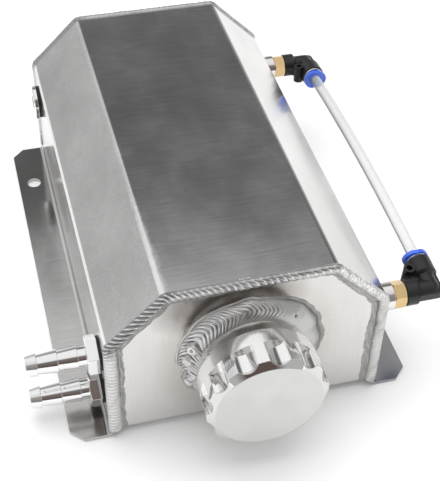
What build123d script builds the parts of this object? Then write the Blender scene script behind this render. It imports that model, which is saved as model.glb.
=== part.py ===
# Oil catch can, modelled lying on its mounting flanges, in millimetres.
# X runs to the right, Y from the filler cap to the far end, Z up from the mounting face.
# The origin is the centre of the four mounting holes, in the plane of the flange undersides.

import os
from math import cos, radians, sin, tan

from build123d import *

os.makedirs("parts", exist_ok=True)

# Folded tank sheet
body_width = 135.0
body_height = 91.5
body_length = 228.0
sheet = 2.0
bend_radius = 2.0
shoulder = 27.0
flange_width = 19.0
flange_corner = 6.5
floor_height = 5.0
half_width = body_width / 2
half_length = body_length / 2
fold_slope = tan(radians(22.5))

# Mounting holes
bolt_hole = 8.0
bolt_edge = 9.0
bolt_inset = 33.0
bolt_x = half_width + flange_width - bolt_edge
bolt_y = half_length - bolt_inset

# End plates and their welds
end_recess = 1.0
end_plate = 2.5
end_inside = end_recess + end_plate
weld_reach = 3.7
weld_bulge = 1.0
weld_crown = 1.5
weld_corner = weld_reach + 0.5
floor_weld_leg = 3.0

# Baffle inside the tank
baffle_sheet = 1.5
baffle_inset = 70.0
baffle_hole = 9.0
baffle_pitch = 18.0
baffle_columns = 5
baffle_rows = 3
baffle_notch = 14.0

# Filler neck and its weld
neck_z = body_height / 2
neck_radius = 26.0
neck_spigot = 24.0
neck_length = 13.7
neck_bore = 21.0
neck_fillet_radius = 34.8
neck_fillet_length = 7.5
neck_edge = 0.8
neck_mouth = 0.6
fit = 0.05

# Filler cap and its seal
cap_radius = 28.7
cap_length = 21.5
cap_bevel = 2.5
cap_face_radius = 25.0
cap_edge = 0.5
cap_gap = 0.3
cap_thread_gap = 0.08
spigot_length = 11.0
spigot_wall = 4.4
spigot_lead = 0.8
roof_slope = 2.0
cap_roof = 6.5
flute_count = 12
flute_cutter = 7.0
flute_depth = 2.3
flute_length = 13.5
flute_turn = -8.5
seal_width = 2.6
seal_height = 1.5
seal_play = 0.3
seal_edge = 0.3

# Hose barbs on the left wall
barb_inset = 20.75
barb_heights = {"lower": 14.5, "upper": 38.5}
barb_turns = {"lower": -20.0, "upper": 0.0}
barb_thread = 4.95
barb_bung_radius = 7.0
barb_bung_depth = 9.0
barb_washer_radius = 8.5
barb_washer = 1.1
barb_washer_edge = 0.2
barb_hex = 17.0
barb_hex_length = 5.5
barb_bore = 3.25
barb_root = 5.1
barb_root_length = 4.0
barb_valley = 4.8
barb_crest = 5.7
barb_first = 9.4
barb_second = 9.8
barb_tip = 5.2

# Drain plug on the left wall
drain_inset = 14.5
drain_height = 47.5
drain_thread = 6.45
drain_bung_radius = 8.9
drain_bung_depth = 11.0
drain_washer_radius = 9.25
drain_washer = 1.5
drain_head_radius = 9.75
drain_head = 2.3
drain_hex = 8.0
drain_hex_depth = 5.0
drain_shank = 10.0
drain_lead = 1.0
drain_edge = 0.5

# Sight gauge on the right wall
sight_inset = 14.0
sight_height = 49.5
sight_bow = 4.5
sight_bung_radius = 7.1
sight_bung_length = 8.7
sight_bung_depth = 4.0
sight_bung_edge = 0.4
stem_thread = 4.85
stem_thread_length = 9.0
stem_hex = 12.0
stem_hex_length = 6.2
stem_neck = 3.6
stem_neck_length = 9.0
stem_bore = 2.0
stem_edge = 0.5
elbow_reach = 14.4
elbow_gap = 0.2
elbow_barrel = 6.6
elbow_core = 4.8
elbow_corner = 5.4
elbow_corner_round = 2.8
elbow_step = 8.0
elbow_ramp = 1.3
elbow_edge = 0.4
elbow_mouth = 17.3
elbow_web = 4.0
web_foot = 0.6
web_tip = 3.6
eyelet_radius = 2.9
eyelet_hole = 1.6
eyelet_height = 5.0
eyelet_back = 7.4
eyelet_along = 11.0
cartridge_radius = 5.2
cartridge_floor = 8.5
mouth_lip = 1.1
mouth_radius = 4.45
tube_radius = 3.0
tube_bore = 2.0
tube_stop = 5.0
tube_play = 0.1
collar_flange = 6.7
collar_thick = 2.0
collar_stand = 2.0
collar_sleeve = 4.35
collar_nose = 5.0
collar_nose_length = 2.9
collar_narrow = 0.85
collar_edge = 0.4
collar_notch = 2.4
collar_notch_depth = 1.0
grab_thick = 0.6
grab_slots = 8
tube_seal_width = 2.0
elbow_x = half_width + sight_bung_length + stem_hex_length + elbow_reach
sight_pitch = body_length - 2 * sight_inset


def finish(part, label):
    part.label = label
    export_step(part, f"parts/{label}.step")
    return part


# Planes that the pieces are drawn on
def cross_section(station):
    return Plane(origin=(0, station, 0), x_dir=(1, 0, 0), z_dir=(0, -1, 0))


def left_port(inset, height):
    origin = (-half_width, inset - half_length, height)
    return Plane(origin=origin, x_dir=(-1, 0, 0), z_dir=(0, 1, 0))


def right_port(station):
    origin = (half_width, station, sight_height)
    return Plane(origin=origin, x_dir=(1, 0, 0), z_dir=(0, -1, 0))


def across(port, distance):
    return Plane(origin=port.origin + port.x_dir * distance, x_dir=port.y_dir, z_dir=port.x_dir)


neck_port = Plane(
    origin=(0, end_recess - half_length, neck_z), x_dir=(0, -1, 0), z_dir=(-1, 0, 0)
)
drain_port = left_port(body_length - drain_inset, drain_height)
barb_ports = {place: left_port(barb_inset, height) for place, height in barb_heights.items()}
sight_ports = {"front": right_port(-sight_pitch / 2), "rear": right_port(sight_pitch / 2)}
sight_ways = {"front": 1, "rear": -1}


# Outline of the closed tank section, inset from its outer faces
def tank_points(inset, low=floor_height):
    top = body_height - inset
    side = half_width - inset
    fold_x = half_width - shoulder - inset * fold_slope
    fold_z = body_height - shoulder - inset * fold_slope
    return [
        (-side, low),
        (-side, fold_z),
        (-fold_x, top),
        (fold_x, top),
        (side, fold_z),
        (side, low),
    ]


def tank_inside(low):
    corners = [0, bend_radius, bend_radius, bend_radius, bend_radius, 0]
    FilletPolyline(*tank_points(sheet, low), radius=corners, close=True)


# A plain turned piece: points are (distance out from the port, radius)
def turned(label, port, *points):
    with BuildPart() as piece:
        with BuildSketch(port):
            with BuildLine():
                Polyline(*points, close=True)
            make_face()
        revolve(axis=Axis(port.origin, port.x_dir))
    return finish(piece.part, label)


# The tank's top, walls and flanges are one folded sheet
def make_body_wrap():
    middle = sheet / 2
    corners = tank_points(middle)
    flange_tip = half_width + flange_width
    fold_line = [
        (-flange_tip, middle),
        (middle - half_width, middle),
        *corners[1:5],
        (half_width - middle, middle),
        (flange_tip, middle),
    ]
    with BuildPart() as body_wrap:
        with BuildSketch(cross_section(-half_length)):
            with BuildLine():
                FilletPolyline(*fold_line, radius=bend_radius + middle)
            trace(line_width=sheet)
        extrude(amount=-body_length)
        tips = body_wrap.edges().filter_by(Axis.Z).filter_by(
            lambda edge: abs(edge.center().X) > half_width + flange_width / 2
        )
        chamfer(tips, length=flange_corner)
        with BuildSketch(Plane.XY):
            with GridLocations(2 * bolt_x, 2 * bolt_y, 2, 2):
                Circle(bolt_hole / 2)
        extrude(amount=sheet, mode=Mode.SUBTRACT)
        for port in barb_ports.values():
            with BuildSketch(across(port, 0)):
                Circle(barb_bung_radius + fit)
            extrude(amount=-sheet, mode=Mode.SUBTRACT)
        with BuildSketch(across(drain_port, 0)):
            Circle(drain_bung_radius + fit)
        extrude(amount=-sheet, mode=Mode.SUBTRACT)
        for port in sight_ports.values():
            with BuildSketch(across(port, 0)):
                Circle(sight_bung_radius + fit)
            extrude(amount=-sheet, mode=Mode.SUBTRACT)
    return finish(body_wrap.part, "body_wrap")


def make_floor_plate():
    with BuildPart() as floor_plate:
        with BuildSketch(Plane.XY.offset(floor_height)):
            Rectangle(body_width - 2 * sheet, body_length - 2 * end_inside)
        extrude(amount=sheet)
    return finish(floor_plate.part, "floor_plate")


def make_front_plate():
    with BuildPart() as front_plate:
        with BuildSketch(cross_section(end_recess - half_length)):
            with BuildLine():
                tank_inside(floor_height)
            make_face()
            with Locations((0, neck_z)):
                Circle(neck_spigot + fit, mode=Mode.SUBTRACT)
        extrude(amount=-end_plate)
    return finish(front_plate.part, "front_plate")


def make_rear_plate():
    with BuildPart() as rear_plate:
        with BuildSketch(cross_section(half_length - end_recess)):
            with BuildLine():
                tank_inside(floor_height)
            make_face()
        extrude(amount=end_plate)
    return finish(rear_plate.part, "rear_plate")


# The baffle lets gas through its holes and oil through the notches at its foot
def make_baffle():
    with BuildPart() as baffle:
        with BuildSketch(cross_section(baffle_inset - half_length)):
            with BuildLine():
                tank_inside(floor_height + sheet)
            make_face()
            with Locations((0, neck_z)):
                with GridLocations(baffle_pitch, baffle_pitch, baffle_columns, baffle_rows):
                    Circle(baffle_hole / 2, mode=Mode.SUBTRACT)
            with Locations(
                (sheet - half_width, floor_height + sheet),
                (half_width - sheet, floor_height + sheet),
            ):
                Rectangle(baffle_notch, baffle_notch, rotation=45, mode=Mode.SUBTRACT)
        extrude(amount=-baffle_sheet)
    return finish(baffle.part, "baffle")


# A weld bead runs up, over and down each end, over the sheet's edge and onto the plate
def make_end_weld(label, end, neighbours):
    station = end * half_length
    inward = Vector(0, -end, 0)
    outward = -end
    with BuildPart() as weld:
        with BuildLine(cross_section(station)) as path:
            FilletPolyline(*tank_points(0), radius=weld_corner)
        start = path.line @ 0
        travel = path.line % 0
        with BuildSketch(Plane(origin=start, x_dir=inward, z_dir=travel)):
            with BuildLine():
                ThreePointArc(
                    (end_recess, -outward * weld_reach),
                    (-weld_crown, -outward * (weld_reach - weld_bulge) / 2),
                    (weld_bulge / 5, outward * weld_bulge),
                )
                Polyline(
                    (weld_bulge / 5, outward * weld_bulge),
                    (end_recess * 0.7, 0),
                    (end_recess * 0.7, -outward * sheet / 2),
                    (end_recess, -outward * sheet),
                    (end_recess, -outward * weld_reach),
                )
            make_face()
        sweep(path=path.line)
        for neighbour in neighbours:
            add(neighbour, mode=Mode.SUBTRACT)
    return finish(weld.part, label)


# Under the floor plate, a bead along each wall closes the tank
def make_floor_weld(label, side, neighbours):
    wall = half_width - sheet
    with BuildPart() as weld:
        with BuildSketch(cross_section(2 * end_inside - half_length)):
            with BuildLine():
                Line(
                    (side * (wall + sheet / 2), floor_height),
                    (side * (wall - floor_weld_leg), floor_height),
                )
                ThreePointArc(
                    (side * (wall - floor_weld_leg), floor_height),
                    (side * (wall - floor_weld_leg * 0.4), floor_height - floor_weld_leg * 0.55),
                    (side * (wall + sheet / 4), floor_height - floor_weld_leg * 0.9),
                )
                Line(
                    (side * (wall + sheet / 4), floor_height - floor_weld_leg * 0.9),
                    (side * (wall + sheet / 2), floor_height),
                )
            make_face()
        extrude(amount=-(body_length - 4 * end_inside))
        for neighbour in neighbours:
            add(neighbour, mode=Mode.SUBTRACT)
    return finish(weld.part, label)


def make_filler_neck():
    return turned(
        "filler_neck",
        neck_port,
        (-end_plate, neck_bore),
        (-end_plate, neck_spigot),
        (0, neck_spigot),
        (0, neck_radius),
        (neck_length - neck_edge, neck_radius),
        (neck_length, neck_radius - neck_edge),
        (neck_length, neck_bore + neck_mouth),
        (neck_length - neck_mouth, neck_bore),
    )


def make_neck_weld():
    with BuildPart() as neck_weld:
        with BuildSketch(neck_port):
            with BuildLine():
                Polyline(
                    (neck_fillet_length, neck_radius), (0, neck_radius), (0, neck_fillet_radius)
                )
                ThreePointArc(
                    (0, neck_fillet_radius),
                    (
                        neck_fillet_length * 0.53,
                        neck_radius + (neck_fillet_radius - neck_radius) * 0.57,
                    ),
                    (neck_fillet_length, neck_radius),
                )
            make_face()
        revolve(axis=Axis(neck_port.origin, neck_port.x_dir))
    return finish(neck_weld.part, "neck_weld")


# The cap's spigot is screwed into the neck, and a ring seals under its collar
def make_filler_cap():
    under = neck_length + cap_gap
    face = under + cap_length
    spigot = neck_bore - cap_thread_gap
    hollow = spigot - spigot_wall
    roof = face - cap_roof
    pocket = spigot + seal_width + 2 * seal_play
    pocket_top = neck_length + seal_height
    flute_centre = cap_radius - flute_depth + flute_cutter
    with BuildPart() as filler_cap:
        with BuildSketch(neck_port):
            with BuildLine():
                Polyline(
                    (under - spigot_length, hollow),
                    (under - spigot_length, spigot - spigot_lead),
                    (under - spigot_length + spigot_lead, spigot),
                    (pocket_top, spigot),
                    (pocket_top, pocket),
                    (under, pocket),
                    (under, cap_radius - cap_edge),
                    (under + cap_edge, cap_radius),
                    (face - cap_bevel, cap_radius),
                    (face, cap_face_radius),
                    (face, 0),
                    (roof, 0),
                    (roof, hollow - roof_slope),
                    (roof - roof_slope, hollow),
                    close=True,
                )
            make_face()
        revolve(axis=Axis(neck_port.origin, neck_port.x_dir))
        with BuildSketch(across(neck_port, face - flute_length)):
            with PolarLocations(flute_centre, flute_count, start_angle=flute_turn):
                Circle(flute_cutter)
        extrude(amount=flute_length, mode=Mode.SUBTRACT)
    return finish(filler_cap.part, "filler_cap")


def make_cap_seal():
    inner = neck_bore - cap_thread_gap + seal_play
    outer = inner + seal_width
    return turned(
        "cap_seal",
        neck_port,
        (neck_length, inner),
        (neck_length, outer - seal_edge),
        (neck_length + seal_edge, outer),
        (neck_length + seal_height, outer),
        (neck_length + seal_height, inner),
    )


# Hose barbs: threaded bung in the wall, rubber washer, and the barb itself
def make_barb_bung(place, port):
    return turned(
        f"barb_bung_{place}",
        port,
        (-barb_bung_depth, barb_thread + fit),
        (-barb_bung_depth, barb_bung_radius),
        (0, barb_bung_radius),
        (0, barb_thread + fit),
    )


def make_barb_washer(place, port):
    return turned(
        f"barb_washer_{place}",
        port,
        (0, barb_thread + 2 * fit),
        (0, barb_washer_radius),
        (barb_washer - barb_washer_edge, barb_washer_radius),
        (barb_washer, barb_washer_radius - barb_washer_edge),
        (barb_washer, barb_thread + 2 * fit),
    )


def make_hose_barb(place, port):
    hex_end = barb_washer + barb_hex_length
    root_end = hex_end + barb_root_length
    corner = barb_hex / 2 / cos(radians(30))
    hex_chamfer = corner - barb_hex / 2
    outline = [
        (-barb_bung_depth, barb_bore),
        (-barb_bung_depth, barb_thread),
        (hex_end, barb_thread),
        (hex_end, barb_root),
        (root_end, barb_root),
    ]
    tip = root_end
    for step in (barb_first, barb_second, barb_tip):
        outline += [(tip, barb_crest), (tip + step, barb_valley)]
        tip += step
    outline.append((tip, barb_bore))
    with BuildPart() as hose_barb:
        with BuildSketch(across(port, barb_washer)):
            RegularPolygon(
                barb_hex / 2, 6, major_radius=False, rotation=barb_turns[place]
            )
            Circle(barb_bore, mode=Mode.SUBTRACT)
        extrude(amount=barb_hex_length)
        with BuildSketch(port):
            with BuildLine():
                Polyline(
                    (barb_washer, 0),
                    (barb_washer, corner),
                    (hex_end - hex_chamfer / 2, corner),
                    (hex_end, barb_hex / 2),
                    (hex_end, 0),
                    close=True,
                )
            make_face()
        revolve(axis=Axis(port.origin, port.x_dir), mode=Mode.INTERSECT)
        with BuildSketch(port):
            with BuildLine():
                Polyline(*outline, close=True)
            make_face()
        revolve(axis=Axis(port.origin, port.x_dir))
    return finish(hose_barb.part, f"hose_barb_{place}")


# Drain: threaded bung in the wall, sealing washer, and a low socket-head plug
def make_drain_bung():
    return turned(
        "drain_bung",
        drain_port,
        (-drain_bung_depth, drain_thread + fit),
        (-drain_bung_depth, drain_bung_radius),
        (0, drain_bung_radius),
        (0, drain_thread + fit),
    )


def make_drain_washer():
    return turned(
        "drain_washer",
        drain_port,
        (0, drain_thread + 2 * fit),
        (0, drain_washer_radius),
        (drain_washer, drain_washer_radius),
        (drain_washer, drain_thread + 2 * fit),
    )


def make_drain_plug():
    head_end = drain_washer + drain_head
    with BuildPart() as drain_plug:
        with BuildSketch(drain_port):
            with BuildLine():
                Polyline(
                    (-drain_shank, 0),
                    (-drain_shank, drain_thread - drain_lead),
                    (drain_lead - drain_shank, drain_thread),
                    (drain_washer, drain_thread),
                    (drain_washer, drain_head_radius),
                    (head_end - drain_edge, drain_head_radius),
                    (head_end, drain_head_radius - drain_edge),
                    (head_end, 0),
                    close=True,
                )
            make_face()
        revolve(axis=Axis(drain_port.origin, drain_port.x_dir))
        with BuildSketch(across(drain_port, head_end)):
            RegularPolygon(drain_hex / 2, 6, major_radius=False)
        extrude(amount=-drain_hex_depth, mode=Mode.SUBTRACT)
    return finish(drain_plug.part, "drain_plug")


# Sight gauge: bung, brass stem, elbow, and the push-in fitting for the tube
def make_sight_bung(place, port):
    return turned(
        f"sight_bung_{place}",
        port,
        (-sight_bung_depth, stem_thread + fit),
        (-sight_bung_depth, sight_bung_radius),
        (sight_bung_length - sight_bung_edge, sight_bung_radius),
        (sight_bung_length, sight_bung_radius - sight_bung_edge),
        (sight_bung_length, stem_thread + fit),
    )


def make_sight_stem(place, port):
    hex_end = sight_bung_length + stem_hex_length
    thread_end = sight_bung_length - stem_thread_length
    corner = stem_hex / 2 / cos(radians(30))
    with BuildPart() as sight_stem:
        with BuildSketch(across(port, sight_bung_length)):
            RegularPolygon(stem_hex / 2, 6, major_radius=False)
            Circle(stem_bore, mode=Mode.SUBTRACT)
        extrude(amount=stem_hex_length)
        with BuildSketch(port):
            with BuildLine():
                Polyline(
                    (sight_bung_length, 0),
                    (sight_bung_length, stem_hex / 2),
                    (sight_bung_length + stem_edge, corner),
                    (hex_end - stem_edge, corner),
                    (hex_end, stem_hex / 2),
                    (hex_end, 0),
                    close=True,
                )
            make_face()
        revolve(axis=Axis(port.origin, port.x_dir), mode=Mode.INTERSECT)
        with BuildSketch(port):
            with BuildLine():
                Polyline(
                    (thread_end, stem_bore),
                    (thread_end, stem_thread - stem_edge),
                    (thread_end + stem_edge, stem_thread),
                    (sight_bung_length, stem_thread),
                    (hex_end, stem_thread),
                    (hex_end, stem_neck),
                    (hex_end + stem_neck_length, stem_neck),
                    (hex_end + stem_neck_length, stem_bore),
                    close=True,
                )
            make_face()
        revolve(axis=Axis(port.origin, port.x_dir))
    return finish(sight_stem.part, f"sight_stem_{place}")


# An elbow's own plane: x along the stem, y along the tube, origin where they cross
def elbow_plane(place):
    way = sight_ways[place]
    tube_dir = Vector(0, way * cos(radians(sight_bow)), sin(radians(sight_bow)))
    origin = (elbow_x, -way * sight_pitch / 2, sight_height)
    return Plane(origin=origin, x_dir=(1, 0, 0), z_dir=Vector(1, 0, 0).cross(tube_dir))


def tube_port(place):
    elbow = elbow_plane(place)
    return Plane(origin=elbow.origin, x_dir=elbow.y_dir, z_dir=elbow.z_dir)


def make_sight_elbow(place):
    elbow = elbow_plane(place)
    tube = tube_port(place)
    inner_end = elbow_gap - elbow_reach
    stem_end = stem_neck_length - elbow_reach
    with BuildPart() as sight_elbow:
        with BuildSketch(elbow):
            with BuildLine():
                Polyline(
                    (inner_end, 0),
                    (inner_end, elbow_barrel - elbow_edge),
                    (inner_end + elbow_edge, elbow_barrel),
                    (-elbow_step, elbow_barrel),
                    (elbow_ramp - elbow_step, elbow_core),
                    (0, elbow_core),
                    (0, 0),
                    close=True,
                )
            make_face()
        revolve(axis=Axis(elbow.origin, elbow.x_dir))
        with BuildSketch(tube):
            with BuildLine():
                Polyline(
                    (0, 0),
                    (0, elbow_core),
                    (elbow_step - elbow_ramp, elbow_core),
                    (elbow_step, elbow_barrel),
                    (elbow_mouth - elbow_edge, elbow_barrel),
                    (elbow_mouth, elbow_barrel - elbow_edge),
                    (elbow_mouth, 0),
                    close=True,
                )
            make_face()
        revolve(axis=Axis(tube.origin, tube.x_dir))
        with BuildSketch(elbow.offset(-elbow_web / 2)):
            with BuildLine():
                FilletPolyline(
                    (inner_end + web_foot, -elbow_corner),
                    (elbow_corner, -elbow_corner),
                    (elbow_corner, elbow_mouth - web_tip),
                    (-elbow_barrel, elbow_mouth - web_tip),
                    (inner_end + web_foot, elbow_barrel),
                    radius=[0, elbow_corner_round, 0, 0, 0],
                    close=True,
                )
            make_face()
        extrude(amount=elbow_web)
        with Locations(elbow):
            Sphere(elbow_core)
        with BuildSketch(elbow.offset(-eyelet_height)):
            with Locations((-eyelet_back, eyelet_along)):
                Circle(eyelet_radius)
        extrude(amount=2 * eyelet_height)
        with BuildSketch(elbow.offset(-elbow_barrel)):
            with Locations((-eyelet_back, eyelet_along)):
                Circle(eyelet_hole)
        extrude(amount=2 * elbow_barrel, mode=Mode.SUBTRACT)
        with BuildSketch(elbow):
            with BuildLine():
                Polyline(
                    (inner_end, 0),
                    (inner_end, stem_neck + fit),
                    (stem_end + elbow_gap, stem_neck + fit),
                    (stem_end + elbow_gap, tube_bore),
                    (0, tube_bore),
                    (0, 0),
                    close=True,
                )
            make_face()
        revolve(axis=Axis(elbow.origin, elbow.x_dir), mode=Mode.SUBTRACT)
        with BuildSketch(tube):
            with BuildLine():
                Polyline(
                    (0, 0),
                    (0, tube_bore),
                    (tube_stop, tube_bore),
                    (tube_stop, tube_radius + fit),
                    (cartridge_floor, tube_radius + fit),
                    (cartridge_floor, cartridge_radius),
                    (elbow_mouth - mouth_lip, cartridge_radius),
                    (elbow_mouth - mouth_lip, mouth_radius),
                    (elbow_mouth, mouth_radius),
                    (elbow_mouth, 0),
                    close=True,
                )
            make_face()
        revolve(axis=Axis(tube.origin, tube.x_dir), mode=Mode.SUBTRACT)
    return finish(sight_elbow.part, f"sight_elbow_{place}")


def make_tube_seal(place):
    return turned(
        f"tube_seal_{place}",
        tube_port(place),
        (cartridge_floor, tube_radius + fit),
        (cartridge_floor, cartridge_radius - fit),
        (cartridge_floor + tube_seal_width, cartridge_radius - fit),
        (cartridge_floor + tube_seal_width, tube_radius + fit),
    )


def make_grab_ring(place):
    start = cartridge_floor + tube_seal_width
    with BuildPart() as grab_ring:
        with BuildSketch(across(tube_port(place), start)):
            Circle(cartridge_radius - fit)
            Circle(tube_radius + fit, mode=Mode.SUBTRACT)
            with PolarLocations(tube_radius, grab_slots):
                Rectangle(2 * grab_thick, grab_thick, mode=Mode.SUBTRACT)
        extrude(amount=grab_thick)
    return finish(grab_ring.part, f"grab_ring_{place}")


# The collar is pushed in to release the tube
def make_release_collar(place):
    tube = tube_port(place)
    nose_end = elbow_mouth - mouth_lip - tube_play
    nose = nose_end - collar_nose_length
    flange = elbow_mouth + collar_stand
    bore = tube_radius + tube_play
    with BuildPart() as release_collar:
        with BuildSketch(tube):
            with BuildLine():
                Polyline(
                    (nose, bore),
                    (nose, collar_nose - collar_edge),
                    (nose + 2 * collar_edge, collar_nose),
                    (nose_end, collar_nose),
                    (nose_end, collar_sleeve),
                    (flange + collar_thick, collar_sleeve),
                    (flange + collar_thick, bore + collar_edge),
                    (flange + collar_thick - collar_edge, bore),
                    close=True,
                )
            make_face()
        revolve(axis=Axis(tube.origin, tube.x_dir))
        with BuildSketch(across(tube, flange)):
            Ellipse(collar_flange, collar_flange * collar_narrow)
            Circle(bore, mode=Mode.SUBTRACT)
            flat = collar_flange * collar_narrow
            with Locations((0, flat), (0, -flat)):
                Rectangle(collar_notch, collar_notch_depth, mode=Mode.SUBTRACT)
        extrude(amount=collar_thick)
    return finish(release_collar.part, f"release_collar_{place}")


# The clear tube runs straight out of each fitting and bows up between them
def make_sight_tube():
    slope = radians(sight_bow)
    straight = elbow_mouth + collar_stand + collar_thick
    span = sight_pitch / 2 - straight * cos(slope)
    with BuildPart() as sight_tube:
        middle = Plane(origin=(elbow_x, 0, sight_height), x_dir=(0, 1, 0), z_dir=(1, 0, 0))
        with BuildLine(middle) as path:
            front_end = (tube_stop * cos(slope) - sight_pitch / 2, tube_stop * sin(slope))
            front_bend = (straight * cos(slope) - sight_pitch / 2, straight * sin(slope))
            rear_bend = (-front_bend[0], front_bend[1])
            rear_end = (-front_end[0], front_end[1])
            crown = (0, front_bend[1] + span * tan(slope / 2))
            Line(front_end, front_bend)
            ThreePointArc(front_bend, crown, rear_bend)
            Line(rear_bend, rear_end)
        with BuildSketch(Plane(origin=path.line @ 0, x_dir=(1, 0, 0), z_dir=path.line % 0)):
            Circle(tube_radius)
            Circle(tube_bore, mode=Mode.SUBTRACT)
        sweep(path=path.line)
    return finish(sight_tube.part, "sight_tube")


body_wrap = make_body_wrap()
make_floor_plate()
front_plate = make_front_plate()
rear_plate = make_rear_plate()
make_baffle()
make_end_weld("front_weld", -1, [body_wrap, front_plate])
make_end_weld("rear_weld", 1, [body_wrap, rear_plate])
make_floor_weld("floor_weld_left", -1, [body_wrap])
make_floor_weld("floor_weld_right", 1, [body_wrap])
make_filler_neck()
make_neck_weld()
make_filler_cap()
make_cap_seal()
for place, port in barb_ports.items():
    make_barb_bung(place, port)
    make_barb_washer(place, port)
    make_hose_barb(place, port)
make_drain_bung()
make_drain_washer()
make_drain_plug()
for place, port in sight_ports.items():
    make_sight_bung(place, port)
    make_sight_stem(place, port)
    make_sight_elbow(place)
    make_tube_seal(place)
    make_grab_ring(place)
    make_release_collar(place)
make_sight_tube()
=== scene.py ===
# The look of the oil catch can: brushed and polished alloy, rippled welds, brass, plastic, clear tube.
# Lengths are in metres. X runs to the right, Y away from the filler cap, Z up.

import math

import bpy
import numpy as np
from mathutils import Matrix, Vector


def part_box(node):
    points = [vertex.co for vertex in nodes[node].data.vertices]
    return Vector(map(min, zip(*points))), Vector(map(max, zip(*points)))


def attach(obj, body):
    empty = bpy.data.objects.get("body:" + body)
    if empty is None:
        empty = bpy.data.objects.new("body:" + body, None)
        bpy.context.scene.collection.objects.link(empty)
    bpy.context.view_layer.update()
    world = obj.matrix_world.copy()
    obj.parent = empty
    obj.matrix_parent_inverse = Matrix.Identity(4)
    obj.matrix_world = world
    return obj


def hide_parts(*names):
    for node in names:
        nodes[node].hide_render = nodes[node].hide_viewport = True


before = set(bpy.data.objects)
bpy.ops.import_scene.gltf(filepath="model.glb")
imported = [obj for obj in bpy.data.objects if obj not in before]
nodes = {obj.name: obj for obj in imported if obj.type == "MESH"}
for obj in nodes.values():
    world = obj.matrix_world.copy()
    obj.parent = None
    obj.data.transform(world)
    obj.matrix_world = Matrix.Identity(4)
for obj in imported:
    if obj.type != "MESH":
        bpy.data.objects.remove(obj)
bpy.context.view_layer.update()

# Sizes read from the frame
plate_low, plate_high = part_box("front_plate")
floor_low, floor_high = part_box("floor_plate")
wrap_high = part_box("body_wrap")[1]
neck_low, neck_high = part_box("filler_neck")
ring_low, ring_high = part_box("neck_weld")
cap_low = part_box("filler_cap")[0]
sheet = floor_high.z - floor_low.z
half_width = plate_high.x + sheet
half_length = wrap_high.y
roof = wrap_high.z
neck_z = (neck_low.z + neck_high.z) / 2
neck_radius = (neck_high.x - neck_low.x) / 2

# The tank's section: a shoulder's width and height, the left fold on the top (the right one mirrors
# it), and how far in the end plates stand
shoulder = 0.027
left_fold = shoulder - half_width
recess = plate_low.y + half_length

# The end bead: how far its crown and its side stand out, its corner radius, the height of its foot,
# the length of its tapered ends, and the inset of the inner path that it is spread towards
bead_crown = 0.0016
bead_bulge = 0.0010
bead_corner = 0.0046
bead_foot = 0.0032
bead_taper = 0.0024
deepest = 0.0060

# How the end bead changes along its way: travel, pitch, height, sweep in ripples, reach and toe
bead_manner = [
    (0.000, 0.0023, 0.00022, -0.15, 0.0064, 0.0084),
    (0.052, 0.0023, 0.00024, -0.20, 0.0062, 0.0082),
    (0.064, 0.0031, 0.00086, 1.50, 0.0054, 0.0078),
    (0.092, 0.0032, 0.00090, 1.50, 0.0052, 0.0076),
    (0.104, 0.0027, 0.00066, 1.50, 0.0046, 0.0070),
    (0.135, 0.0032, 0.00058, 1.20, 0.0044, 0.0062),
    (0.170, 0.0034, 0.00040, 1.00, 0.0042, 0.0058),
    (0.190, 0.0026, 0.00018, 0.80, 0.0044, 0.0066),
    (0.235, 0.0024, 0.00012, 0.50, 0.0048, 0.0080),
    (0.290, 0.0022, 0.00010, 0.10, 0.0046, 0.0076),
]

# The neck weld. Angles are in degrees, from the right over the top. Its chevrons' pitch, the notches
# in its rim, its heaviness, and the width of its toe in millimetres
scale_pitch = 0.0026
notch_depth = 0.0034
notch_angles = (190, 226)
crater_angle = 156
neck_heaviness = [
    (0, 0.06),
    (40, 0.07),
    (62, 0.14),
    (80, 0.40),
    (100, 0.68),
    (185, 1),
    (215, 0.7),
    (250, 0.3),
    (330, 0.1),
    (360, 0.06),
]
neck_toe_width = [
    (0, 2.4),
    (50, 2.0),
    (75, 0.7),
    (110, 0.5),
    (160, 0.8),
    (200, 1.2),
    (240, 0.8),
    (300, 0.8),
    (345, 2.0),
    (360, 2.4),
]

# Its lumps and pits: angle, place across the fillet, size, and height. A lump higher than
# smooth_lump has no chevrons on it.
smooth_lump = 0.0008
neck_lumps = [
    (crater_angle, 0.42, 0.0030, 0.0013),
    (crater_angle, 0.42, 0.0006, -0.0016),
    (172, 0.46, 0.0028, 0.0012),
    (192, 0.40, 0.0034, 0.0014),
    (204, 0.70, 0.0026, 0.0012),
    (48, 0.35, 0.0006, -0.0010),
]

# The sight gauge: the tube's rise from each end in degrees, and the elbow's radius
sight_bow = 4.5
elbow_barrel = 0.0066

# The floor: half its width, its own glow, and what is added at its rim, so that it ends unseen in low
# views
floor_size = 1.6
floor_glow = 0.03
floor_rim_glow = 0.45

# The room that shows in the metal, from level (0) to straight up (1): behind the object, behind it to
# the left, and before it
room_grey = (0.62, 0.62, 0.62)
sky_behind = [
    (0.00, 0.90),
    (0.10, 0.72),
    (0.22, 0.50),
    (0.42, 0.30),
    (0.53, 0.165),
    (0.63, 0.13),
    (0.67, 0.16),
    (0.71, 0.34),
    (0.75, 0.95),
    (0.85, 1.00),
]
sky_beside = [
    (0.00, 0.38),
    (0.10, 0.60),
    (0.25, 0.68),
    (0.42, 0.70),
    (0.55, 0.80),
    (0.62, 1.00),
]
sky_before = [
    (0.00, 0.04),
    (0.12, (0.05, 0.045, 0.04)),
    (0.18, (0.15, 0.105, 0.088)),
    (0.42, (0.17, 0.135, 0.122)),
    (0.74, (0.21, 0.19, 0.183)),
    (0.84, 0.95),
    (1.00, 1.00),
]

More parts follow.
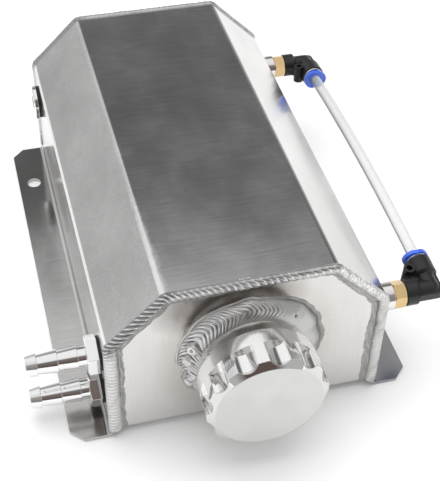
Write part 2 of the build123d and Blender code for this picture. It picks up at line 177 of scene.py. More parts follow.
# Camera, as in the photograph: picture height and focal length in pixels, then heading, pitch and roll
photo_height = 481
focal_pixels = 1107.6
heading = math.radians(-16.09)
pitch = math.radians(43.36)
roll = math.radians(1.80)
eye = Vector((-0.10945, -0.4391, 0.43907))


def make_camera():
    """The camera at its solved place. Its sensor spans the picture's height, the longer side."""
    ahead = Vector(
        (-math.sin(heading) * math.cos(pitch), math.cos(heading) * math.cos(pitch), -math.sin(pitch))
    )
    level = Vector((math.cos(heading), math.sin(heading), 0))
    upright = level.cross(ahead)
    right = level * math.cos(roll) + upright * math.sin(roll)
    up = upright * math.cos(roll) - level * math.sin(roll)
    data = bpy.data.cameras.new("camera")
    data.sensor_width = 36.0
    data.lens = focal_pixels * data.sensor_width / photo_height
    data.clip_start = 0.01
    camera = bpy.data.objects.new("camera", data)
    axes = Matrix((right, up, -ahead)).transposed()
    camera.matrix_world = Matrix.Translation(eye) @ axes.to_4x4()
    bpy.context.scene.collection.objects.link(camera)
    bpy.context.scene.camera = camera


# Node helpers
class Nodes:
    """A node tree that is built one node at a time."""

    def __init__(self, tree):
        self.tree = tree
        tree.nodes.clear()

    def add(self, kind, inputs=None, **settings):
        node = self.tree.nodes.new(kind)
        for key, value in settings.items():
            setattr(node, key, value)
        for key, value in (inputs or {}).items():
            socket = node.inputs[key]
            if isinstance(value, bpy.types.NodeSocket):
                self.tree.links.new(value, socket)
            else:
                socket.default_value = value
        return node

    def math(self, operation, a, b=0.0):
        return self.add("ShaderNodeMath", {0: a, 1: b}, operation=operation).outputs[0]

    def product(self, first, *others):
        for other in others:
            first = self.math("MULTIPLY", first, other)
        return first

    def spread(self, value, low, high):
        """Zero at low and below, one at high and above, whichever of the two is larger."""
        node = self.add(
            "ShaderNodeMapRange", {"Value": value, "From Min": low, "From Max": high}, clamp=True
        )
        return node.outputs["Result"]

    def ramp(self, factor, stops):
        node = self.add("ShaderNodeValToRGB", {"Fac": factor})
        band = node.color_ramp
        while len(band.elements) < len(stops):
            band.elements.new(1.0)
        for element, (place, value) in zip(band.elements, stops):
            element.position = place
            element.color = (*value, 1.0) if isinstance(value, tuple) else (value, value, value, 1.0)
        return node.outputs["Color"]

    def noise(self, vector, scale, detail=4.0, roughness=0.55):
        node = self.add(
            "ShaderNodeTexNoise",
            {"Vector": vector, "Scale": scale, "Detail": detail, "Roughness": roughness},
        )
        return node.outputs["Fac"]

    def place(self, stretch=(1.0, 1.0, 1.0)):
        """The surface's position, stretched along each axis."""
        texture = self.add("ShaderNodeTexCoord")
        mapping = self.add("ShaderNodeMapping", {"Vector": texture.outputs["Object"], "Scale": stretch})
        return mapping.outputs["Vector"]

    def position(self):
        """X, Y and Z of the surface, in metres."""
        node = self.add("ShaderNodeSeparateXYZ", {0: self.place()})
        return node.outputs["X"], node.outputs["Y"], node.outputs["Z"]

    def mix(self, factor, a, b):
        """The first colour where the factor is zero, and the second where it is one."""
        node = self.add("ShaderNodeMix", {"Factor": factor}, data_type="RGBA")
        for index, value in ((6, a), (7, b)):
            if isinstance(value, bpy.types.NodeSocket):
                self.tree.links.new(value, node.inputs[index])
            else:
                node.inputs[index].default_value = (*value, 1.0)
        return node.outputs[2]

    def metal(self, base, rough, *relief):
        """A metal surface; relief is what finish takes after the shader."""
        inputs = {"Base Color": base, "Metallic": 1.0, "Roughness": rough}
        self.finish(self.add("ShaderNodeBsdfPrincipled", inputs), *relief)

    def finish(self, shader, bump=None, strength=0.1, distance=0.0002, edge=None):
        """Puts the shader on the surface, with a bump and with edges rounded to a radius."""
        normal = None
        if edge is not None:
            normal = self.add("ShaderNodeBevel", {"Radius": edge}, samples=4).outputs["Normal"]
        if bump is not None:
            inputs = {"Height": bump, "Strength": strength, "Distance": distance}
            if normal is not None:
                inputs["Normal"] = normal
            normal = self.add("ShaderNodeBump", inputs).outputs["Normal"]
        if normal is not None:
            self.tree.links.new(normal, shader.inputs["Normal"])
        self.add("ShaderNodeOutputMaterial", {"Surface": shader.outputs[0]})


def new_material(name):
    """A material and its empty node tree."""
    material = bpy.data.materials.new(name)
    material.use_nodes = True
    return material, Nodes(material.node_tree)


def brushed_alloy(name, color, dark, roughness, grain, finishes):
    """Alloy sheet with a fine satin grain; grain is the stretch of the scratches."""
    material, n = new_material(name)
    fine = n.noise(n.place(grain), 1.0, 5.0, 0.6)
    patch = n.noise(n.place((26.0, 15.0, 26.0)), 1.0, 5.0, 0.6)
    tone = n.math("ADD", n.math("MULTIPLY", fine, 0.42), n.math("MULTIPLY", patch, 0.58))
    base = n.mix(n.spread(tone, 0.38, 0.62), dark, color)
    marks = n.noise(n.place((60.0, 520.0, 520.0)), 1.0, 2.0, 0.5)
    base = n.mix(n.math("MULTIPLY", n.spread(marks, 0.71, 0.78), 0.3), base, (0.97, 0.97, 0.96))
    rough = n.math("ADD", n.math("MULTIPLY", patch, 0.22), roughness - 0.11)
    for finish in finishes:
        base, rough = finish(n, base, rough)
    n.metal(base, rough, fine, 0.05, 0.00004)
    return material


def flanges_painted_dark(n, base, rough):
    """Painted shade: greyer flanges for their dark reflections, most at both ends and on the right, and
    rougher towards the front.
    """
    x, y, z = n.position()
    foot = n.spread(z, 0.006, 0.003)
    rear = n.math("MULTIPLY", n.spread(y, 0.02, 0.08), 0.55)
    front = n.math("MULTIPLY", n.spread(y, -0.03, -0.11), 0.60)
    amount = n.math("ADD", n.math("ADD", rear, 0.08), front)
    # Painted shade: the flanges' base is greyed, most at both ends, standing for their dark
    # reflections.
    base = n.mix(n.math("MULTIPLY", foot, amount), base, (0.45, 0.44, 0.43))
    right = n.math("MULTIPLY", foot, n.math("GREATER_THAN", x, 0.0))
    # Painted shade: the right flange is darker still, standing for its dark reflection.
    base = n.mix(n.math("MULTIPLY", right, 0.85), base, (0.34, 0.34, 0.355))
    middle = n.math("MULTIPLY", n.spread(y, 0.07, 0.02), 0.06)
    front = n.math("MULTIPLY", n.spread(y, -0.05, -0.09), 0.06)
    gain = n.math("SUBTRACT", n.math("ADD", middle, front), 0.05)
    return base, n.math("ADD", rough, n.math("MULTIPLY", foot, gain))


def painted_fold_highlight(n, base, rough):
    """Painted highlight: a ragged bright band along the front of the left fold, and faint specks left
    of it.
    """
    x, y, z = n.position()
    band = n.spread(x, left_fold + 0.0042, left_fold - 0.0002)
    on_top = n.math("GREATER_THAN", z, roof - 0.0012)
    band = n.product(band, on_top, n.spread(y, -0.03, -0.10))
    ragged = n.math("MULTIPLY", n.noise(n.place((420.0, 160.0, 420.0)), 1.0, 3.0), 0.9)
    highlight = n.spread(n.math("ADD", band, ragged), 0.60, 1.45)
    highlight = n.math("MULTIPLY", highlight, n.math("LESS_THAN", x, left_fold + 0.0046))
    # The painted highlight: a near-white base along the fold.
    base = n.mix(highlight, base, (0.97, 0.97, 0.97))
    return base, n.math("ADD", rough, n.math("MULTIPLY", highlight, 0.26))


def shaded_right(n, base, rough):
    """Painted shade on the right shoulder: darker towards the front, and a dark line along its lower
    fold that stands for a dark reflection.
    """
    x, y, z = n.position()
    above = n.math("GREATER_THAN", z, roof - shoulder)
    shoulder_shade = n.product(n.spread(x, -left_fold, 0.002 - left_fold), above, n.spread(y, -0.03, -0.12))
    # Painted shade: the right shoulder darkened towards the front.
    base = n.mix(shoulder_shade, base, (0.56, 0.555, 0.54))
    above = n.math("GREATER_THAN", z, roof - shoulder - 0.004)
    # Painted reflection: a dark line along the lower fold, for dark things mirrored at a grazing angle.
    line = n.spread(x, half_width - 0.0016, half_width - 0.0009)
    line = n.product(line, above, n.spread(y, 0.02, -0.06))
    return n.mix(line, base, (0.17, 0.17, 0.17)), rough


def front_patch(n, centre_x, centre_z, narrow, rim, core):
    """One in the core of an ellipse on the front plate, zero beyond its rim; narrow widens it."""
    x, y, z = n.position()
    across = n.math("MULTIPLY", n.math("SUBTRACT", x, centre_x), narrow)
    height = n.math("SUBTRACT", z, centre_z)
    across = n.math("POWER", across, 2.0)
    height = n.math("POWER", height, 2.0)
    radius = n.math("SQRT", n.math("ADD", across, height))
    return n.math("MULTIPLY", n.spread(radius, rim, core), n.math("LESS_THAN", y, 0.0))


def brown_bloom_and_painted_shade(n, base, rough):
    """A faint brown bloom round the neck weld, and painted shade between it and the top: a dark patch
    that stands for the reflection of the weld ring.
    """
    cloud = n.noise(n.place((60.0, 60.0, 60.0)), 1.0, 3.0)
    faint = n.product(front_patch(n, 0.0, neck_z, 1.0, 0.047, 0.034), cloud, 0.7)
    base = n.mix(faint, base, (0.46, 0.39, 0.34))
    # Painted reflection: this dark patch stands for the weld ring mirrored in the plate.
    dark = n.math("MULTIPLY", front_patch(n, -0.011, 0.081, 0.56, 0.023, 0.012), 0.9)
    return n.mix(dark, base, (0.25, 0.23, 0.215)), rough


def polished_alloy(name, color, roughness, swirl=0.02, edge=0.0003):
    """Turned metal with faint tool marks and rounded edges."""
    material, n = new_material(name)
    fine = n.noise(n.place((900.0, 900.0, 900.0)), 1.0, 3.0)
    broad = n.noise(n.place((60.0, 60.0, 60.0)), 1.0, 3.0)
    rough = n.math("ADD", n.math("MULTIPLY", broad, 0.06), roughness)
    base = n.mix(n.math("MULTIPLY", broad, 0.25), color, tuple(c * 0.82 for c in color))
    n.metal(base, rough, fine, swirl, 0.00005, edge)
    return material


def cap_alloy(name):
    """Polished sides, a duller bevel and a blasted satin face."""
    material, n = new_material(name)
    y = n.position()[1]
    face = n.math("LESS_THAN", y, cap_low.y + 0.0002)
    bevel = n.math("LESS_THAN", y, cap_low.y + 0.0024)
    collar = n.math("MULTIPLY", n.spread(y, cap_low.y + 0.0128, cap_low.y + 0.0140), 0.08)
    fine = n.noise(n.place((1400.0, 1400.0, 1400.0)), 1.0, 3.0)
    cloud = n.noise(n.place((70.0, 70.0, 70.0)), 1.0, 4.0)
    rough = n.math("ADD", n.math("MULTIPLY", face, 0.20), n.math("MULTIPLY", cloud, 0.04))
    rough = n.math("ADD", rough, n.math("ADD", collar, 0.02))
    satin = n.mix(n.spread(cloud, 0.3, 0.7), (0.635, 0.645, 0.625), (0.59, 0.595, 0.58))
    sides = n.mix(bevel, (0.88, 0.875, 0.87), (0.67, 0.665, 0.66))
    base = n.mix(face, sides, satin)
    n.metal(base, rough, n.math("MULTIPLY", fine, face), 0.10, 0.00004, 0.0005)
    return material


def weld_alloy(name, bright, dark, roughness, right=None):
    """Rippled weld metal with grey oxide in its hollows, more on the outside of the left shoulder.

    A weld with a colour for its right side also has more oxide on its left.
    """
    material, n = new_material(name)
    fine = n.noise(n.place((700.0, 700.0, 700.0)), 1.0, 5.0)
    cloud = n.noise(n.place((150.0, 150.0, 150.0)), 1.0, 4.0)
    hollow = n.add("ShaderNodeNewGeometry").outputs["Pointiness"]
    base = n.mix(n.spread(hollow, 0.45, 0.52), dark, bright)
    base = n.mix(n.math("MULTIPLY", n.spread(cloud, 0.5, 0.75), 0.45), base, dark)
    x, _, z = n.position()
    fold = roof - left_fold
    outside = n.spread(n.math("SUBTRACT", z, x), fold - 0.0062, fold - 0.0024)
    strokes = n.mix(n.spread(hollow, 0.475, 0.52), (0.20, 0.205, 0.22), bright)
    base = n.mix(n.math("MULTIPLY", outside, 0.85), base, strokes)
    if right is not None:
        strokes = n.mix(n.spread(hollow, 0.47, 0.52), (0.15, 0.15, 0.17), bright)
        base = n.mix(n.spread(x, -0.004, -0.018), base, strokes)
        base = n.mix(n.spread(x, 0.002, 0.016), base, right)
    rough = n.math("ADD", n.math("MULTIPLY", fine, 0.16), roughness - 0.08)
    n.metal(base, rough, fine, 0.15, 0.00006)
    return material


def brass(name):
    """Yellow metal, scratched and slightly cloudy."""
    material, n = new_material(name)
    fine = n.noise(n.place((1500.0, 300.0, 300.0)), 1.0, 4.0)
    cloud = n.noise(n.place((150.0, 150.0, 150.0)), 1.0, 3.0)
    base = n.mix(cloud, (0.78, 0.57, 0.29), (0.62, 0.45, 0.23))
    rough = n.math("ADD", n.math("MULTIPLY", fine, 0.15), 0.12)
    n.metal(base, rough, fine, 0.1, 0.00006)
    return material


def plastic(name, color, light, roughness, coat=0.0):
    """Moulded plastic or rubber with a fine grain, clouded towards the lighter colour."""
    material, n = new_material(name)
    fine = n.noise(n.place((900.0, 900.0, 900.0)), 1.0, 4.0)
    cloud = n.noise(n.place((110.0, 110.0, 110.0)), 1.0, 3.0)
    base = n.mix(n.math("MULTIPLY", cloud, 0.6), color, light)
    rough = n.math("ADD", n.math("MULTIPLY", fine, 0.16), roughness - 0.08)
    shader = n.add(
        "ShaderNodeBsdfPrincipled",
        {"Base Color": base, "Roughness": rough, "Coat Weight": coat, "Coat Roughness": 0.1},
    )
    n.finish(shader, fine, 0.12, 0.00008)
    return material


def clear_tube(name):
    """Clear tube: see-through in the middle, grey and glossy towards its edges, with painted shade that
    makes the edge facing left darker than the one facing right.
    """
    material, n = new_material(name)
    streak = n.noise(n.place((500.0, 14.0, 500.0)), 1.0, 2.0)
    facing = n.add("ShaderNodeLayerWeight", {"Blend": 0.5}).outputs["Facing"]
    body = n.ramp(facing, [(0.0, 0.40), (0.25, 0.44), (0.42, 0.70), (0.60, 0.92), (1.0, 0.95)])
    # Painted shade: the grey at the tube's edges is darker where the surface faces left and lighter
    # where it faces right.
    normal = n.add("ShaderNodeNewGeometry").outputs["Normal"]
    side = n.add("ShaderNodeSeparateXYZ", {0: normal}).outputs["X"]
    rim = n.mix(n.spread(side, -0.3, 0.3), (0.38, 0.385, 0.39), (0.58, 0.585, 0.59))
    depth = n.add("ShaderNodeLightPath").outputs["Transparent Depth"]
    body = n.math("MULTIPLY", body, n.math("LESS_THAN", depth, 0.5))
    tint = n.mix(streak, (0.58, 0.59, 0.60), (0.54, 0.55, 0.56))
    tint = n.mix(n.spread(facing, 0.32, 0.50), tint, rim)
    shader = n.add(
        "ShaderNodeBsdfPrincipled",
        {"Base Color": tint, "Roughness": 0.08, "Specular IOR Level": 0.08, "Alpha": body},
    )
    n.finish(shader)
    return material


# Mesh helpers
def add_mesh(name, points, faces, material, body="tank"):
    """A smooth piece that rides on a body of the frame."""
    mesh = bpy.data.meshes.new(name)
    mesh.from_pydata([tuple(p) for p in points], [], faces)
    mesh.validate()
    mesh.materials.append(material)
    for polygon in mesh.polygons:
        polygon.use_smooth = True
    piece = bpy.data.objects.new(name, mesh)
    bpy.context.scene.collection.objects.link(piece)
    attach(piece, body)
    return piece


def band_faces(along, across, closed=True, flip=False):
    """Faces of a band of rows across and columns along, which may meet."""
    faces = []
    for i in range(along if closed else along - 1):
        j = (i + 1) % along
        for k in range(across - 1):
            face = (i * across + k, j * across + k, j * across + k + 1, i * across + k + 1)
            faces.append(face[::-1] if flip else face)
    return faces


def tank_corners(inset, foot):
    """Corners of the tank's section from the left foot over the top, inset from its outside."""
    slope = math.tan(math.radians(22.5))
    top = roof - inset
    side = half_width - inset
    fold_x = half_width - shoulder - inset * slope
    fold_z = roof - shoulder - inset * slope
    return [(-side, foot), (-side, fold_z), (-fold_x, top), (fold_x, top), (side, fold_z), (side, foot)]


def tank_path(inset, radius, foot, step=0.00026, bend_steps=14):
    """Points along the section at an inset, the same number at every inset, with rounded corners."""
    corners = np.array(tank_corners(inset, foot))
    outer = np.array(tank_corners(0.0, foot))
    starts, ends, bends = [corners[0]], [corners[0]], [None]
    for i in range(1, 5):
        before = corners[i] - corners[i - 1]
        after = corners[i + 1] - corners[i]
        before = before / np.linalg.norm(before)
        after = after / np.linalg.norm(after)
        turn = math.acos(float(np.clip(before @ after, -1, 1)))
        setback = radius * math.tan(turn / 2)
        starts.append(corners[i] - before * setback)
        ends.append(corners[i] + after * setback)
        bends.append((starts[i] + np.array((before[1], -before[0])) * radius, turn))
    starts.append(corners[5])
    points = []
    for i in range(5):
        if bends[i] is not None:
            centre, turn = bends[i]
            arm = starts[i] - centre
            for k in range(bend_steps):
                angle = -turn * k / bend_steps
                spin = np.array(
                    ((math.cos(angle), -math.sin(angle)), (math.sin(angle), math.cos(angle)))
                )
                points.append(centre + spin @ arm)
        steps = int(round(np.linalg.norm(outer[i + 1] - outer[i]) / step))
        for k in range(steps):
            points.append(ends[i] + (starts[i + 1] - ends[i]) * k / steps)
    points.append(corners[5])
    return np.array(points)


def smooth_noise(values, period, seed):
    """Smooth repeatable noise between -1 and 1 along a line of values."""
    table = np.random.default_rng(seed).uniform(-1, 1, 4096)
    place = values / period
    whole = np.floor(place).astype(int)
    part = place - whole
    ease = part * part * (3 - 2 * part)
    return table[whole % 4096] * (1 - ease) + table[(whole + 1) % 4096] * ease


def end_weld(name, end, bead, toe):
    """The bead over one end, in stacked ripples, and the etched toe between it and the plate."""
    rows = 33
    outline = tank_path(0.0, bead_corner, bead_foot)
    inner = tank_path(deepest, bead_corner - deepest * 0.9, bead_foot)
    along = len(outline)
    step = np.diff(outline, axis=0)
    length = np.linalg.norm(step, axis=1)
    travel = np.concatenate(([0.0], np.cumsum(length)))
    ahead = np.vstack((step / length[:, None], step[-1:] / length[-1]))
    outward = np.stack((-ahead[:, 1], ahead[:, 0]), axis=1)
    stations, pitches, heights, sweeps, reaches, toes = (np.array(c) for c in zip(*bead_manner))
    reach = np.interp(travel, stations, reaches) + 0.0002 * smooth_noise(travel, 0.005, 11)
    pitch = np.interp(travel, stations, pitches)
    height = np.interp(travel, stations, heights) * (1 + 0.35 * smooth_noise(travel, 0.008, 7))
    sweep = np.interp(travel, stations, sweeps)
    count = np.concatenate(([0.0], np.cumsum(length / pitch[1:])))
    count = count + 0.25 * smooth_noise(travel, 0.009, 3)
    left = np.minimum(travel, travel[-1] - travel)
    taper = np.sqrt(np.clip(1 - (1 - np.clip(left / bead_taper, 0, 1)) ** 2, 0.003, 1))
    half = (reach + bead_bulge) / 2
    middle = reach - half
    points = np.zeros((along, rows, 3))
    for k in range(rows):
        angle = math.pi * 1.28 * k / (rows - 1)
        share = min(angle / math.pi, 1.0)
        crest = math.sin(angle)
        inset = middle + half * math.cos(angle)
        lag = sweep * ((share - 0.4) / 0.6 if share > 0.4 else 0.25 * (0.4 - share) / 0.4)
        coin = np.abs(np.sin(math.pi * (count + lag))) ** 0.6 - 0.6
        swell = 0.00018 * smooth_noise(travel + 0.0007 * k, 0.0050, 20)
        lift = (height * coin * (0.5 + share) + swell) * (0.15 + 0.85 * max(crest, 0.0))
        deep = recess * (1 - share) + 0.0004 * share - (bead_crown + recess * 0.7) * crest
        deep = deep - lift * (0.35 + 0.65 * crest)
        ring = outline + (inner - outline) * (inset / deepest)[:, None]
        move = -lift * math.cos(angle) * 0.9 + (inset - middle) * (1 - taper)
        points[:, k, 0] = ring[:, 0] + outward[:, 0] * move
        points[:, k, 2] = ring[:, 1] + outward[:, 1] * move
        points[:, k, 1] = end * (half_length - recess * (1 - taper) * (1 - share) - deep * taper)
    faces = band_faces(along, rows, closed=False, flip=end < 0)
    piece = add_mesh(f"{name}_ripples", points.reshape(-1, 3), faces, bead)
    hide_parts(name)

    rows = 9
    foot = floor_low.z + 0.0001
    outline = tank_path(0.0, bead_corner, foot)
    inner = tank_path(deepest, bead_corner - deepest * 0.9, foot)
    travel = np.linspace(0, travel[-1], len(outline))
    reach = np.interp(travel, stations, reaches) - 0.0008
    ragged = 0.0006 * smooth_noise(travel, 0.006, 51) + 0.0003 * smooth_noise(travel, 0.002, 52)
    wide = np.interp(travel, stations, toes) + ragged - reach
    points = np.zeros((len(travel), rows, 3))
    for k in range(rows):
        share = k / (rows - 1)
        ring = outline + (inner - outline) * ((reach + wide * share) / deepest)[:, None]
        arch = math.sin(math.pi * share)
        waver = smooth_noise(travel + 0.001 * k, 0.0024, 60 + k // 3)
        rise = 0.00050 * (1 - share) ** 2 + 0.00022 * arch
        rise = rise + 0.00022 * waver * arch
        points[:, k, 0] = ring[:, 0]
        points[:, k, 2] = ring[:, 1]
        points[:, k, 1] = end * (half_length - recess + np.maximum(rise, 0.00002))
    faces = band_faces(len(travel), rows, closed=False, flip=end > 0)
    add_mesh(f"{name}_toe", points.reshape(-1, 3), faces, toe)


def neck_weld(bead, toe):
    """Heavy chevrons round the neck, plainer on the right, with a rim, a crater and lumps."""
    around = 1500
    rows = 44
    theta = np.linspace(0, 2 * math.pi, around, endpoint=False)
    plate_y = plate_low.y
    height = plate_y - ring_low.y
    outer = (ring_high.x - ring_low.x) / 2
    turn = np.degrees(theta)
    heavy = np.interp(turn, *zip(*neck_heaviness))
    arc = theta * outer
    edge = outer + 0.0006 * smooth_noise(arc, 0.007, 31)
    edge = edge - 0.0013 * np.exp(-(((turn - 96) / 34) ** 4))
    for angle in notch_angles:
        edge = edge - notch_depth * np.exp(-(((turn - angle) / 6) ** 2))
    bulge_h = height * 0.66
    bulge_r = neck_radius + (edge - neck_radius) * 0.80
    points = np.zeros((around, rows, 3))
    for k in range(rows):
        share = k / (rows - 1)
        h = (1 - share) ** 2 * height + 2 * share * (1 - share) * bulge_h
        r = (1 - share) ** 2 * neck_radius + 2 * share * (1 - share) * bulge_r + share**2 * edge
        lag = 2.4 * (abs(share - 0.42) / 0.5) ** 1.5 + 0.45 * smooth_noise(arc, 0.007, 5)
        phase = arc / scale_pitch - lag
        coin = np.abs(np.sin(math.pi * phase)) ** 0.8 - 0.55
        uneven = 1 + 0.65 * smooth_noise(arc + 0.008 * share, 0.003, 77)
        body = math.sin(math.pi * min(1.0, max(0.0, share / 0.92))) ** 0.7
        lift = 0.00056 * coin * heavy * uneven * body
        humps = 0.0
        for angle, place, size, swell in neck_lumps:
            gap = np.angle(np.exp(1j * (theta - math.radians(angle)))) * (neck_radius + 0.004)
            away = np.hypot(gap, (share - place) * 0.0115)
            near = np.exp(-((away / size) ** 4))
            if swell > smooth_lump:
                lift = lift * (1 - 0.9 * near)
            humps = humps + swell * near
        lift = lift + humps + 0.00030 * smooth_noise(arc + share * 0.004, 0.006, 41) * body
        points[:, k, 0] = np.cos(theta) * (r + lift * 0.7)
        points[:, k, 2] = neck_z + np.sin(theta) * (r + lift * 0.7)
        points[:, k, 1] = np.minimum(plate_y - h - lift * 0.7, plate_y + 0.0003)
    faces = band_faces(around, rows, flip=True)
    piece = add_mesh("neck_weld_scales", points.reshape(-1, 3), faces, bead)
    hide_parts("neck_weld")

    rows = 14
    wide = np.interp(turn, *zip(*neck_toe_width)) * 0.001
    wide = wide * (1 + 0.25 * smooth_noise(arc, 0.003, 91))
    points = np.zeros((around, rows, 3))
    for k in range(rows):
        share = k / (rows - 1)
        r = edge - 0.0012 + (wide + 0.0012) * share
        root = max(0, 1 - share / 0.25)
        mound = max(0, math.sin(math.pi * (share - 0.3) / 0.7))
        rise = 0.0007 * root + 0.0006 * mound
        rise = rise * (1 + 0.3 * smooth_noise(arc + 0.001 * k, 0.0020, 95))
        points[:, k, 0] = np.cos(theta) * r
        points[:, k, 2] = neck_z + np.sin(theta) * r
        points[:, k, 1] = plate_y - np.maximum(rise, 0.00002)
    faces = band_faces(around, rows, flip=True)
    add_mesh("neck_weld_toe", points.reshape(-1, 3), faces, toe)


def spatter(material):
    """Three beads of weld spatter on the top, behind the front bead."""
    spots = [(-0.0034, 0.0000, 0.0013), (-0.0012, 0.0003, 0.0010), (-0.0052, 0.0006, 0.0007)]
    rows = 8
    around = 20
    for index, (x, y, size) in enumerate(spots):
        y = y - half_length + 0.0016
        points = []
        for i in range(around):
            for k in range(rows):
                angle = 2 * math.pi * i / around
                up = math.pi / 2 * k / (rows - 1)
                radius = size * math.cos(up) * (1 + 0.15 * math.sin(3 * angle + index))
                z = roof + size * 0.5 * math.sin(up)
                points.append((x + radius * math.cos(angle), y + radius * math.sin(angle), z))
        add_mesh(f"spatter_{index}", points, band_faces(around, rows), material)


def crater(material):
    """A round blob of filler with a pit, on the left of the neck weld."""
    angle = math.radians(crater_angle)
    out = Vector((math.cos(angle), 0, math.sin(angle)))
    base = Vector((0, plate_low.y - 0.0056, neck_z)) + out * 0.0311
    face = (out * 0.62 + Vector((0, -0.78, 0))).normalized()
    side = face.cross(out).normalized()
    upright = side.cross(face)
    section = [
        (0.0, 0.0002),
        (0.0003, 0.0002),
        (0.0006, 0.0010),
        (0.0012, 0.0014),
        (0.0020, 0.0012),
        (0.0026, 0.0006),
        (0.0029, -0.0004),
        (0.0029, -0.0016),
    ]
    around = 48
    points = []
    for i in range(around):
        turn = 2 * math.pi * i / around
        arm = side * math.cos(turn) + upright * math.sin(turn)
        wobble = 1 + 0.05 * math.sin(3 * turn + 0.6)
        points += [tuple(base + arm * r * wobble + face * h) for r, h in section]
    add_mesh("neck_weld_crater", points, band_faces(around, len(section)), material)


def mouth_rings(material):
    """The bright metal lip at each elbow's mouth, between the barrel and the blue collar."""
    around = 72
    section = [
        (0.0173, 0.0059),
        (0.0180, 0.0059),
        (0.01825, 0.00565),
        (0.01825, 0.0049),
        (0.0180, 0.0045),
        (0.0173, 0.0045),
    ]
    for place, way in (("front", 1), ("rear", -1)):
        low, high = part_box(f"sight_stem_{place}")
        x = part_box(f"sight_elbow_{place}")[1].x - elbow_barrel
        lean = math.radians(sight_bow)
        along = Vector((0, way * math.cos(lean), math.sin(lean)))
        side = Vector((1, 0, 0))
        upright = side.cross(along)
        base = Vector((x, (low.y + high.y) / 2, (low.z + high.z) / 2))
        points = []
        for i in range(around):
            angle = 2 * math.pi * i / around
            arm = side * math.cos(angle) + upright * math.sin(angle)
            points += [tuple(base + along * s + arm * r) for s, r in section]
        faces = band_faces(around, len(section))
        add_mesh(f"mouth_ring_{place}", points, faces, material)


def dress(material, *names):
    """Gives the named CAD pieces a material."""
    for name in names:
        slots = nodes[name].data.materials
        slots.clear()
        slots.append(material)


# Light and floor
def make_stage():
    """A pale floor, with a glow that only the camera and reflections see."""
    mesh = bpy.data.meshes.new("floor")
    corners = [(-1, -1), (1, -1), (1, 1), (-1, 1)]
    points = [(x * floor_size, y * floor_size, 0.0) for x, y in corners]
    mesh.from_pydata(points, [], [(0, 1, 2, 3)])
    floor = bpy.data.objects.new("floor", mesh)
    bpy.context.scene.collection.objects.link(floor)
    material, n = new_material("pale_floor")
    path = n.add("ShaderNodeLightPath")
    seen = n.math("MAXIMUM", path.outputs["Is Camera Ray"], path.outputs["Is Glossy Ray"])
    seen = n.math("MAXIMUM", seen, path.outputs["Is Transmission Ray"])
    diffuse = n.add("ShaderNodeBsdfDiffuse", {"Color": (0.91, 0.91, 0.91, 1.0)})
    away = n.add("ShaderNodeVectorMath", {0: n.place()}, operation="LENGTH").outputs["Value"]
    rim = n.math("ADD", n.math("MULTIPLY", n.spread(away, 0.8, 1.5), floor_rim_glow), floor_glow)
    glow = n.add(
        "ShaderNodeEmission",
        {"Color": (1.0, 1.0, 1.0, 1.0), "Strength": n.math("MULTIPLY", seen, rim)},
    )
    both = n.add("ShaderNodeAddShader", {0: diffuse.outputs[0], 1: glow.outputs[0]})
    n.add("ShaderNodeOutputMaterial", {"Surface": both.outputs[0]})
    mesh.materials.append(material)


def make_world():
    """A room with dim grey behind the object, brown before it and light overhead.

    It lights the object and shows in reflections. The camera sees white.
    """
    world = bpy.data.worlds.new("studio")
    world.use_nodes = True
    bpy.context.scene.world = world
    n = Nodes(world.node_tree)
    direction = n.add("ShaderNodeTexCoord").outputs["Generated"]
    way = n.add("ShaderNodeSeparateXYZ", {0: direction})
    behind = n.ramp(way.outputs["Z"], sky_behind)
    beside = n.ramp(way.outputs["Z"], sky_beside)
    before = n.ramp(way.outputs["Z"], sky_before)
    behind = n.mix(n.spread(way.outputs["X"], -0.02, -0.26), behind, beside)
    before = n.mix(n.spread(way.outputs["X"], 0.28, 0.50), before, room_grey)
    before = n.mix(n.spread(way.outputs["X"], -0.26, -0.42), before, room_grey)
    sky = n.mix(n.spread(way.outputs["Y"], -0.12, 0.12), before, behind)
    path = n.add("ShaderNodeLightPath")
    color = n.mix(path.outputs["Is Camera Ray"], sky, (1.0, 1.0, 1.0))
    background = n.add("ShaderNodeBackground", {"Color": color, "Strength": 1.0})
    n.add("ShaderNodeOutputWorld", {"Surface": background.outputs[0]})


def area_light(name, place, target, size, power):
    """A lamp that lights the object without showing in it."""
    data = bpy.data.lights.new(name, "AREA")
    data.shape = "RECTANGLE"
    data.size, data.size_y = size
    data.energy = power
    lamp = bpy.data.objects.new(name, data)
    lamp.location = place
    lamp.visible_glossy = False
    lamp.rotation_euler = (Vector(target) - Vector(place)).to_track_quat("-Z", "Y").to_euler()
    bpy.context.scene.collection.objects.link(lamp)


make_camera()
make_world()
make_stage()
area_light("key", (0.1, 0.3, 2.2), (0, 0, 0), (2.2, 2.2), 34.0)
area_light("fill", (-0.2, -1.5, 1.5), (0, -0.2, 0), (1.4, 1.0), 6.0)
bpy.context.scene.view_settings.view_transform = "Standard"

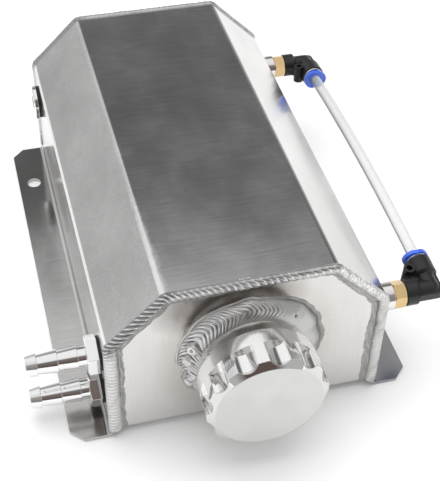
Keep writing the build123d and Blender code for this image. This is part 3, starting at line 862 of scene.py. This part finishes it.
sheet_alloy = brushed_alloy(
    "brushed_sheet",
    (0.78, 0.775, 0.77),
    (0.60, 0.595, 0.59),
    0.16,
    (60.0, 1500.0, 1500.0),
    (flanges_painted_dark, painted_fold_highlight, shaded_right),
)
plate_alloy = brushed_alloy(
    "brushed_plate",
    (0.72, 0.715, 0.70),
    (0.66, 0.65, 0.63),
    0.17,
    (1400.0, 1400.0, 60.0),
    (brown_bloom_and_painted_shade, flanges_painted_dark, painted_fold_highlight),
)
bead_alloy = weld_alloy("weld_bead_alloy", (0.88, 0.875, 0.86), (0.22, 0.22, 0.23), 0.33)
ring_alloy = weld_alloy(
    "neck_weld_alloy", (0.74, 0.735, 0.725), (0.20, 0.20, 0.215), 0.30, right=(0.50, 0.50, 0.49)
)
crater_alloy = weld_alloy("crater_alloy", (0.86, 0.855, 0.84), (0.22, 0.22, 0.22), 0.46)
toe_alloy = weld_alloy("weld_toe_alloy", (0.46, 0.455, 0.44), (0.18, 0.175, 0.17), 0.38)
neck_toe_alloy = weld_alloy(
    "neck_toe_alloy", (0.62, 0.61, 0.59), (0.22, 0.21, 0.20), 0.40, right=(0.33, 0.33, 0.325)
)
turned_alloy = polished_alloy("turned_alloy", (0.80, 0.79, 0.77), 0.14)
bright_alloy = polished_alloy("bright_fitting", (0.86, 0.86, 0.86), 0.02, 0.0, 0.0004)
rubber = plastic("black_rubber", (0.008, 0.008, 0.008), (0.020, 0.020, 0.020), 0.55)
black = plastic("black_moulding", (0.008, 0.008, 0.009), (0.018, 0.018, 0.019), 0.38)
blue = plastic("blue_moulding", (0.045, 0.13, 0.72), (0.08, 0.20, 0.86), 0.28, coat=0.3)

dress(sheet_alloy, "body_wrap", "floor_plate")
dress(plate_alloy, "front_plate", "rear_plate", "baffle")
dress(bead_alloy, "floor_weld_left", "floor_weld_right", "front_weld", "rear_weld", "neck_weld")
dress(turned_alloy, "filler_neck", "drain_bung", "grab_ring_front", "grab_ring_rear")
dress(turned_alloy, "barb_bung_upper", "barb_bung_lower", "sight_bung_front", "sight_bung_rear")
dress(cap_alloy("cap_alloy"), "filler_cap")
dress(bright_alloy, "hose_barb_upper", "hose_barb_lower", "drain_plug")
dress(rubber, "cap_seal", "barb_washer_upper", "barb_washer_lower", "drain_washer")
dress(rubber, "tube_seal_front", "tube_seal_rear")
dress(brass("turned_brass"), "sight_stem_front", "sight_stem_rear")
dress(black, "sight_elbow_front", "sight_elbow_rear")
dress(blue, "release_collar_front", "release_collar_rear")
dress(clear_tube("clear_tube"), "sight_tube")

end_weld("front_weld", -1, bead_alloy, toe_alloy)
end_weld("rear_weld", 1, bead_alloy, toe_alloy)
neck_weld(ring_alloy, neck_toe_alloy)
spatter(bead_alloy)
mouth_rings(turned_alloy)
crater(crater_alloy)
